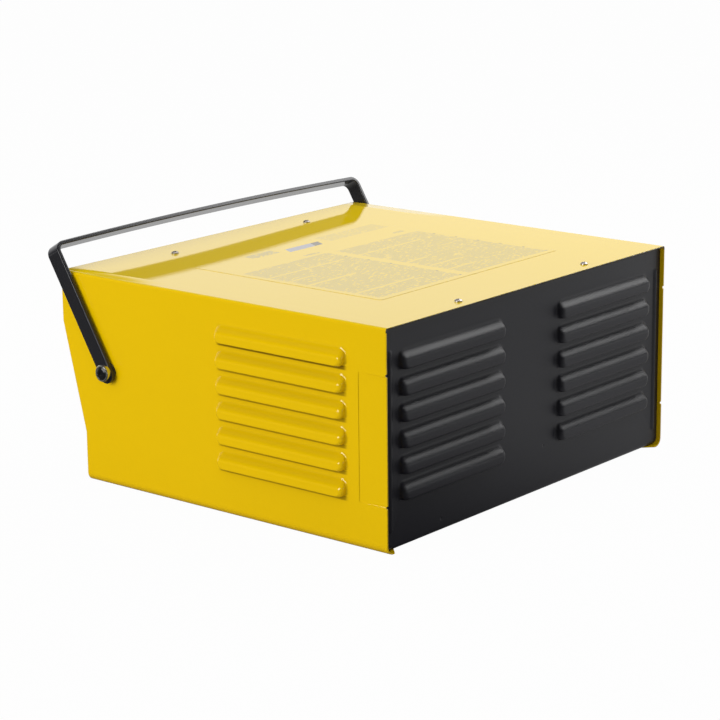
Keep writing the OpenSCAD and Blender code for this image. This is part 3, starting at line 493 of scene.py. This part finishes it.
def circuit_green():
    """Solder mask with copper tracks and round pads showing through."""
    f = Finish("circuit_green")
    pitch = 5.08
    x, y = f.x * mm / pitch, f.y * mm / pitch
    cell_x, cell_y, in_x, in_y = x.floor(), y.floor(), x.fract() - 0.5, y.fract() - 0.5
    turn = f.dice(cell_x, cell_y)
    across = (abs(in_y) < 0.13) * (turn > 0.45)
    along = (abs(in_x) < 0.13) * (turn < 0.62)
    pads = (radius(in_x, in_y) < 0.24) * (f.dice(cell_y, cell_x) > 0.5)
    mask = f.blend(srgb(12, 70, 40), srgb(22, 104, 58), (across + along).lowest(1.0))
    f.set(Base_Color=f.blend(mask, srgb(196, 192, 176), pads))
    f.set(Roughness=f.noise(300.0, 2.0) * 0.1 + 0.25)
    f.relief((across + along + pads).lowest(1.0) * 3e-5)
    return f


def cable_jacket(name, colour):
    """Soft insulated lead with a slight matt bloom."""
    f = Finish(name)
    cloud = f.noise(60.0, 3.0)
    f.set(Base_Color=f.blend(lighter(colour, 0.85), lighter(colour, 1.1), cloud))
    f.set(Roughness=cloud * 0.15 + 0.38)
    f.relief(f.noise(700.0, 3.0) * 1.2e-5)
    return f


def dress(mesh, finish):
    """Gives one finish to every material slot of a mesh."""
    slots = mesh.materials
    if not len(slots):
        slots.append(finish.material)
    for i in range(len(slots)):
        slots[i] = finish.material


def paint(finish, *names):
    """Gives one finish to CAD nodes."""
    for name in names:
        dress(nodes[name].data, finish)


zinc = metal("zinc_plate", srgb(206, 206, 200), 0.26)
bright = metal("bright_plate", srgb(184, 178, 176), 0.34)
brass = metal("yellow_brass", srgb(212, 178, 96), 0.24)
gloss_black = plastic("gloss_black_plastic", srgb(26, 26, 28), 0.22)
dull_black = plastic("dull_black_plastic", srgb(34, 34, 37), 0.42)
cream = plastic("cream_plastic", srgb(214, 204, 172), 0.45)
nylon = plastic("white_nylon", srgb(226, 222, 206), 0.40)
red_gloss = plastic("red_gloss_plastic", srgb(176, 26, 22), 0.20)
cover_finish = enamel()
panel_finish = powder("panel_black", srgb(24, 24, 31), 0.39, grain=7e-6, soft=0.003,
                      pits=((0.134, 0.013), (-0.020, 0.044)))
bar_finish = powder("handle_black", srgb(33, 33, 36), 0.17, grain=3e-6, soft=0.0004)

paint(cover_finish, "cover")
paint(panel_finish, "chassis")
paint(bar_finish, "handle")
paint(pivot_steel(), "pivot_bolts")
paint(plastic("cap_black", srgb(20, 20, 21), 0.18), "pivot_caps")
paint(nylon, "sink_spacers")
paint(dull_black, "pivot_bushes")
paint(zinc, "pivot_washers", "pivot_nuts", "selector_nut", "breaker_nut", "core_feet", "core_bolts",
      "core_nuts", "sink_screws", "board_screws", "floor_screws")
paint(bright, "cover_screws", "lamp_bodies", "thermal_switch", "relay_can")
paint(top_film(), "top_label")
paint(front_film(), "front_overlay")
paint(gloss_black, "meter_case", "rocker_volts")
paint(metal("movement_grey", srgb(120, 120, 124), 0.45), "meter_movement")
paint(dial_card(), "meter_dial")
paint(plastic("needle_red", srgb(190, 28, 20), 0.30), "meter_needle")
paint(clear("meter_glass", (0.97, 0.98, 0.98), 0.02, 1.0), "meter_lens")
paint(dull_black, "selector_switch", "rocker_frames", "breaker_body", "mains_gland", "gland_nut")
paint(knob_black(), "selector_knob")
paint(red_gloss, "rocker_mains", "breaker_button")
paint(clear("amber_lens", srgb(244, 150, 24), 0.08, 0.5), "lens_mains")
paint(clear("green_lens", srgb(60, 190, 70), 0.08, 0.5), "lens_charge")
paint(cable_jacket("black_rubber", srgb(24, 24, 24)), "lead_grommets")
paint(laminations(), "core")
paint(cream, "bobbin", "terminal_block")
paint(winding("fine_winding", srgb(140, 62, 34), 0.0009), "primary_winding")
paint(winding("heavy_winding", srgb(196, 104, 52), 0.0034), "secondary_winding")
paint(metal("drawn_aluminium", srgb(206, 208, 212), 0.30, (1, 1, 0.06)), "heat_sink")
paint(brass, "diodes", "relay_studs", "terminal_screws", "board_posts")
paint(plastic("brown_phenolic", srgb(58, 40, 30), 0.34), "relay_cap")
paint(circuit_green(), "control_board")
paint(plastic("relay_blue", srgb(36, 78, 158), 0.26), "board_relays")
paint(plastic("sleeve_blue", srgb(30, 38, 92), 0.30), "board_capacitors")
paint(cable_jacket("red_lead", srgb(160, 26, 24)), "secondary_leads")
paint(cable_jacket("blue_lead", srgb(38, 74, 160)), "primary_leads")


# Shapes as they are seen


def new_object(name, data):
    """An object in the scene, at the origin."""
    made = bpy.data.objects.new(name, data)
    bpy.context.scene.collection.objects.link(made)
    return made


def cut_copy(node, axis, places):
    """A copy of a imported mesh, its double points merged, cut along planes square to one axis.
    Gives the mesh and an array of its points, one row each."""
    mesh = nodes[node].data.copy()
    solid = bmesh.new()
    solid.from_mesh(mesh)
    bmesh.ops.remove_doubles(solid, verts=solid.verts[:], dist=1e-6)
    normal = Vector([float(i == axis) for i in range(3)])
    for at in places:
        parts = solid.verts[:] + solid.edges[:] + solid.faces[:]
        bmesh.ops.bisect_plane(solid, geom=parts, dist=1e-7, plane_co=normal * at,
                               plane_no=normal)
    solid.to_mesh(mesh)
    solid.free()
    points = np.empty(len(mesh.vertices) * 3, np.float32)
    mesh.vertices.foreach_get("co", points)
    return mesh, points.reshape(-1, 3).astype(float)


def put_in_place(mesh, points, node, name, finish):
    """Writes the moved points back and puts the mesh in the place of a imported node."""
    mesh.vertices.foreach_set("co", points.astype(np.float32).ravel())
    mesh.polygons.foreach_set("use_smooth", np.ones(len(mesh.polygons), bool))
    mesh.update()
    mesh.set_sharp_from_angle(angle=math.radians(30))
    dress(mesh, finish)
    made = new_object(name, mesh)
    shading = made.modifiers.new("even_shading", "WEIGHTED_NORMAL")
    shading.keep_sharp = True
    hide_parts(node)
    return made


def rolled(d, inner):
    """How far the rolled edge of a louver has risen at a distance d inside its outline, for
    the skin that lies inner below the outer one: a quarter-round foot r - sqrt(r^2 - d^2),
    then a quarter-round shoulder r + sqrt(s^2 - (full - d)^2), with r = root + inner and
    s = full - r."""
    r = louver_root + inner
    s = lip_out - r
    foot = r - np.sqrt(np.maximum(r * r - np.clip(d, 0.0, r) ** 2, 0.0))
    back = lip_out - np.clip(d, r, lip_out)
    shoulder = r + np.sqrt(np.maximum(s * s - back * back, 0.0))
    return np.where(d < r, foot, shoulder)


def drawn_louvers(points, axis, sheet, sign, middle, thick, lip_up, ends_in):
    """Reshapes one column of louvers in a sheet that faces along an axis. With v the distance
    below a louver's top, d the distance inside its outline and S(t) = t^2 (3 - 2 t), a point
    that stood rolled(d) off the sheet stands rolled(d) * full * S(v / slope) / rolled(v) off
    it, so the roof becomes a wide slope. The lip moves up by lip_up * (1 - u / fade), u being
    the height above it. Along the louver, the points move in by ends_in * a / flat, a being
    the distance from its middle, as far as the straight part goes, and all alike past it."""
    fade, flat = 0.008, louver_half - 0.0105
    near, skin, match, below = 1e-4, 3e-4, 4e-4, 8e-4
    along = 1 - axis
    out = points[:, axis] * sign - sheet
    a = points[:, along] - middle
    row = np.floor((points[:, 2] - lip_low + below) / lip_pitch)
    u = points[:, 2] - lip_low - row * lip_pitch
    here = (np.abs(a) < louver_half + louver_root + near) & (u < louver_high + near)
    here &= (row > -0.5) & (row < louver_rows - 0.5)
    here &= (out > -thick - skin) & (out < lip_out + skin)
    v, e = louver_high - u, louver_half + louver_root - np.abs(a)
    corner = (v < louver_corner) & (e < louver_corner)
    d = np.where(corner, louver_corner - np.hypot(louver_corner - v, louver_corner - e),
                 np.minimum(v, e))
    t = np.clip(v / roof_slope, 0.0, 1.0)
    slope = lip_out * t * t * (3.0 - 2.0 * t)
    shift = np.zeros(len(points))
    for inner in (0.0, thick):
        risen = rolled(d, inner)
        on = here & (d > 1e-6) & (np.abs(out + inner - risen) < match) & (v < roof_slope)
        new = risen * slope / np.maximum(rolled(v, inner), 1e-7)
        shift = np.where(on, new - risen, shift)
    moved = points.copy()
    moved[:, axis] += shift * sign
    lift = lip_up * np.clip(1.0 - u / fade, 0.0, 1.0)
    moved[:, 2] += np.where(here & (u > -skin), lift, 0.0)
    share = np.clip(a / flat, -1.0, 1.0)
    pull = np.where(share > 0.0, -share * ends_in[1], -share * ends_in[0])
    moved[:, along] += np.where(here, pull, 0.0)
    return moved


def drawn_sheet(node, name, finish, axis, columns, thick, lip_up, ends_in):
    """A packed sheet whose louvers are drawn out, column by column. It is cut first across
    each roof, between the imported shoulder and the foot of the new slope."""
    levels = [lip_low + k * lip_pitch + louver_high - v for k in range(louver_rows)
              for v in np.linspace(lip_out + 0.001, roof_slope, 5)]
    mesh, points = cut_copy(node, 2, levels)
    for sheet, sign, middle in columns:
        points = drawn_louvers(points, axis, sheet, sign, middle, thick, lip_up, ends_in)
    made = put_in_place(mesh, points, node, name, finish)
    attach(made, "case")


def bowed_handle():
    """The flat bar handle with its crossbar slightly bowed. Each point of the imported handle
    moves along the arms by bow * (1/2 - (x / half)^2) * share, where share grows from 0 at
    the eyes to 1 near the crossbar."""
    bow, eye, bend = 0.003, 0.012, 0.012
    mesh, points = cut_copy("handle", 0, np.linspace(-0.2, 0.2, 41))
    along = np.array([0.0, -math.sin(bar_lean), math.cos(bar_lean)])
    reach = (points - np.array([0.0, pivot_y, pivot_z])) @ along
    share = np.clip((reach - eye) / (bar_reach - bend - eye), 0.0, 1.0)
    lift = bow * (0.5 - np.minimum((points[:, 0] / bar_half) ** 2, 1.0)) * share
    points = points + lift[:, None] * along
    made = put_in_place(mesh, points, "handle", "bowed_handle", bar_finish)
    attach(made, "bail")


drawn_sheet("chassis", "drawn_chassis", panel_finish, 1,
            ((rear_sheet, 1.0, rear_louver_x), (rear_sheet, 1.0, -rear_louver_x)),
            chassis_thick, rear_lip_up, rear_ends_in)
drawn_sheet("cover", "drawn_cover", cover_finish, 0,
            ((side_sheet, 1.0, side_louver_y), (side_sheet, -1.0, side_louver_y)),
            cover_thick, side_lip_up, side_ends_in)
bowed_handle()


# Camera, floor and light


def camera():
    """The photograph's view: 122 mm on a 36 mm sensor, 2.4 m off, rolled by half a degree."""
    yaw, pitch, tilt = math.radians(50.3814), math.radians(14.3027), math.radians(-0.5777)
    ahead = np.array([-math.cos(pitch) * math.sin(yaw), -math.cos(pitch) * math.cos(yaw),
                      -math.sin(pitch)])
    right = np.cross(ahead, [0.0, 0.0, 1.0])
    right /= np.linalg.norm(right)
    up = np.cross(right, ahead)
    data = bpy.data.cameras.new("camera")
    data.lens, data.sensor_width = 122.0, 36.0
    data.clip_start, data.clip_end = 0.05, 60.0
    turn = np.eye(4)
    turn[:3, 0] = math.cos(tilt) * right + math.sin(tilt) * up
    turn[:3, 1] = -math.sin(tilt) * right + math.cos(tilt) * up
    turn[:3, 2] = -ahead
    turn[:3, 3] = (1.749186, 1.436619, 0.676931)
    made = new_object("camera", data)
    made.matrix_world = Matrix(turn.tolist())
    bpy.context.scene.camera = made


def floor():
    """A wide flat floor that reads white to the camera and keeps a faint shadow. A mirror ray
    sees it white beyond the case, along the photograph's line of sight, half grey on the -X
    side and dark elsewhere."""
    size, camera_share, sight = 12.0, 0.98, (-0.770, -0.638)
    mesh = bpy.data.meshes.new("floor")
    mesh.from_pydata([(-size, -size, 0), (size, -size, 0), (size, size, 0), (-size, size, 0)],
                     [], [(0, 1, 2, 3)])
    mesh.update()
    made = new_object("floor", mesh)
    f = Finish("floor_paper", Roughness=0.9, Specular_IOR_Level=0.0)
    f.set(Base_Color=f.blend((0.40, 0.40, 0.40), (0.44, 0.44, 0.44), f.noise(40.0, 3.0)))
    path = f.add("ShaderNodeLightPath")
    pale = f.add("ShaderNodeEmission", {}, {"Color": white, "Strength": 1.0})
    dark = f.add("ShaderNodeEmission", {}, {"Color": white, "Strength": 0.06})
    beyond = (f.x * sight[0] + f.y * sight[1]).rise(0.02, 0.42)
    west = f.x * -1.0
    aside = west.rise(-0.2, 0.3) * 0.5 - west.rise(0.3, 0.65) * 0.3
    mirrored = f.add("ShaderNodeMixShader", {}, {0: beyond.highest(aside), 1: dark.outputs[0],
                                                 2: pale.outputs[0]})
    surface = f.add("ShaderNodeMixShader", {}, {0: path.outputs["Is Glossy Ray"],
                                                1: f.shader.outputs[0],
                                                2: mirrored.outputs[0]})
    seen = Val(f, path.outputs["Is Camera Ray"]) * camera_share
    mixed = f.add("ShaderNodeMixShader", {}, {0: seen, 1: surface.outputs[0],
                                              2: pale.outputs[0]})
    f.feed(f.out.inputs["Surface"], mixed.outputs[0])
    dress(mesh, f)


def world():
    """White to the camera. Mirror rays see it white at the horizon and darker above, dark
    towards +X (east) and high towards +Y (north). The light it gives is half as strong."""
    made = bpy.data.worlds.new("studio")
    bpy.context.scene.world = made
    made.use_nodes = True
    f = Nodes(made.node_tree)
    out = f.add("ShaderNodeOutputWorld")
    path = f.add("ShaderNodeLightPath")
    ahead = f.add("ShaderNodeTexCoord").outputs["Generated"]
    parts = f.add("ShaderNodeSeparateXYZ", {}, {"Vector": ahead})
    east, north, up = (Val(f, parts.outputs[i]) for i in range(3))
    ceiling = (1.0 - up.rise(0.28, 0.62) * 0.85) * (1.0 - east.rise(0.10, 0.45) * 0.9)
    ceiling = ceiling * (1.0 - north.rise(0.15, 0.45) * up.rise(0.05, 0.30) * 0.85)
    soft, shiny = (Val(f, path.outputs[name]) for name in ("Is Diffuse Ray", "Is Glossy Ray"))
    strength = 1.0 - soft * 0.50 - shiny * (1.0 - ceiling)
    sky = f.add("ShaderNodeBackground", {}, {"Color": white, "Strength": strength})
    f.feed(out.inputs["Surface"], sky.outputs[0])


def lamp(name, place, aim, size, power):
    """A square soft lamp that looks at a point."""
    data = bpy.data.lights.new(name, "AREA")
    data.size, data.energy = size, power
    made = new_object(name, data)
    made.location = place
    made.rotation_mode = "QUATERNION"
    made.rotation_quaternion = (Vector(aim) - Vector(place)).to_track_quat("-Z", "Y")


camera()
floor()
world()
lamp("side_lamp", (3.0, -0.8, 0.9), (0.1, 0.0, 0.1), 1.8, 62.0)
lamp("top_lamp", (-0.3, -0.3, 2.4), (0.0, 0.0, 0.15), 1.2, 7.5)
lamp("rear_lamp", (-1.17, 0.20, 1.21), (0.0, 0.19, 0.14), 1.0, 14.0)
bpy.context.scene.view_settings.view_transform = "Standard"
